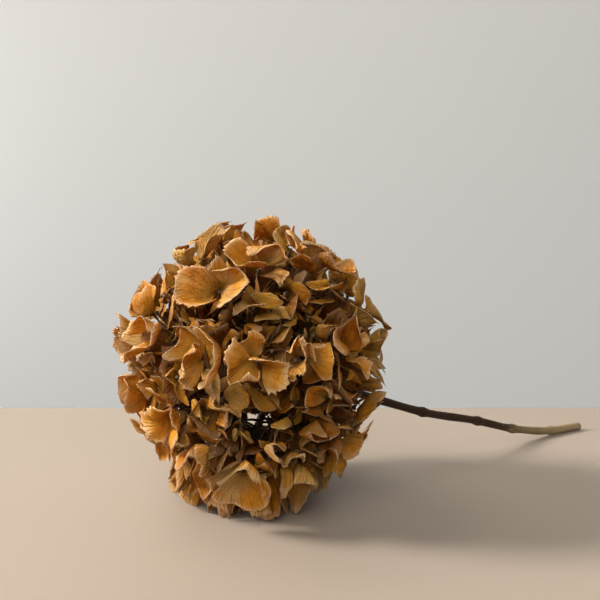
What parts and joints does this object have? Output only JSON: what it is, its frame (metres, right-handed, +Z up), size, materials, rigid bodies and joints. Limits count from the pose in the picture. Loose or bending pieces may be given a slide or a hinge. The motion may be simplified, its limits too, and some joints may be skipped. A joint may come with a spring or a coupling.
{
  "type": "preserved hydrangea",
  "caption": "Dried mophead hydrangea on its woody stem, laid on its side: a round head of golden-brown four-sepalled florets, for display.",
  "frame": {"origin": "on the surface, straight below the head's centre, at the middle of the floret pressed flat there", "axes": "+X horizontally along the stem towards its cut end, +Z up"},
  "size_m": [0.3338, 0.1504, 0.1522],
  "materials": {
    "stem": "matt",
    "florets": "matt"
  },
  "bodies": {
    "root": {"stem": "stem", "spray_01": "florets", "spray_02": "florets", "spray_03": "florets", "spray_04": "florets", "spray_05": "florets", "spray_06": "florets", "spray_07": "florets", "spray_08": "florets", "spray_09": "florets", "spray_10": "florets", "spray_11": "florets", "spray_12": "florets"}
  },
  "joints": []
}
